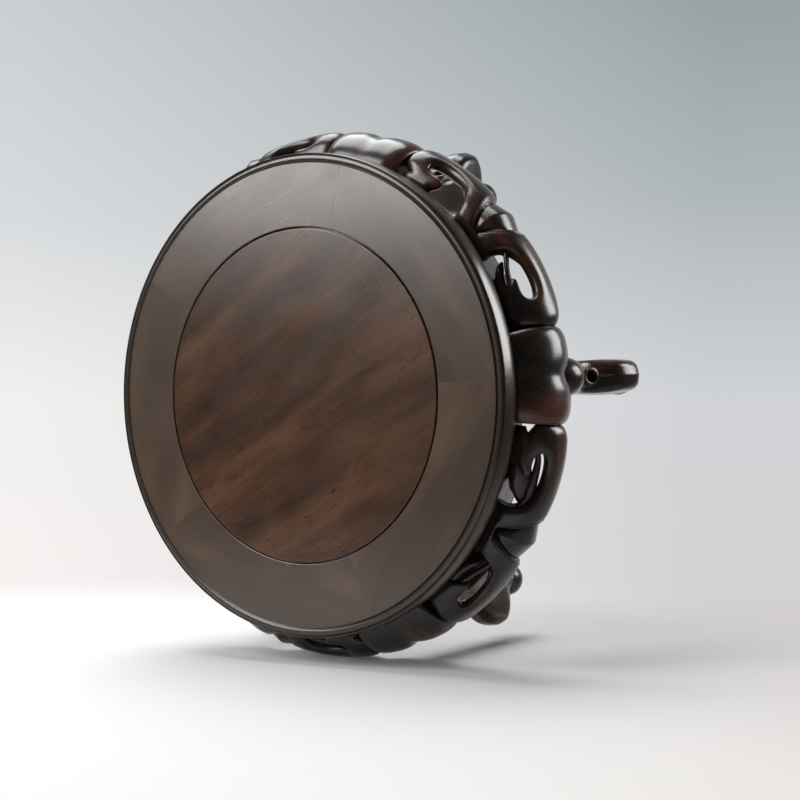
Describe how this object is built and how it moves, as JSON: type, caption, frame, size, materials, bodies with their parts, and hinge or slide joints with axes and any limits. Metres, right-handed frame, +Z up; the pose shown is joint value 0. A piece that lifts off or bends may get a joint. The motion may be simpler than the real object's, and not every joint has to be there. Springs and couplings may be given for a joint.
{
  "type": "display stand",
  "caption": "Round carved hardwood display stand: floating panel in a moulded frame, bulging shoulder legs on ball feet, openwork aprons with scrolls and leaves between them.",
  "frame": {"origin": "middle of the stand on the plane of the soles", "axes": "+Z up along the axis of the round top; +Y through the middle of leg_1"},
  "size_m": [0.1666, 0.1665, 0.086],
  "materials": {
    "panel_wood": "oiled and waxed, satin",
    "frame_wood": "dark stain, satin polish",
    "leg_wood": "near-black brown, glossy polish",
    "apron_wood": "near-black brown, glossy polish",
    "spline_wood": "bare"
  },
  "bodies": {
    "root": {"top_panel": "panel_wood", "frame_segment_1": "frame_wood", "frame_segment_2": "frame_wood", "frame_segment_3": "frame_wood", "frame_segment_4": "frame_wood", "frame_segment_5": "frame_wood", "frame_spline_1": "spline_wood", "frame_spline_2": "spline_wood", "frame_spline_3": "spline_wood", "frame_spline_4": "spline_wood", "frame_spline_5": "spline_wood", "leg_1": "leg_wood", "leg_2": "leg_wood", "leg_3": "leg_wood", "leg_4": "leg_wood", "leg_5": "leg_wood", "apron_1": "apron_wood", "apron_2": "apron_wood", "apron_3": "apron_wood", "apron_4": "apron_wood", "apron_5": "apron_wood"}
  },
  "joints": []
}
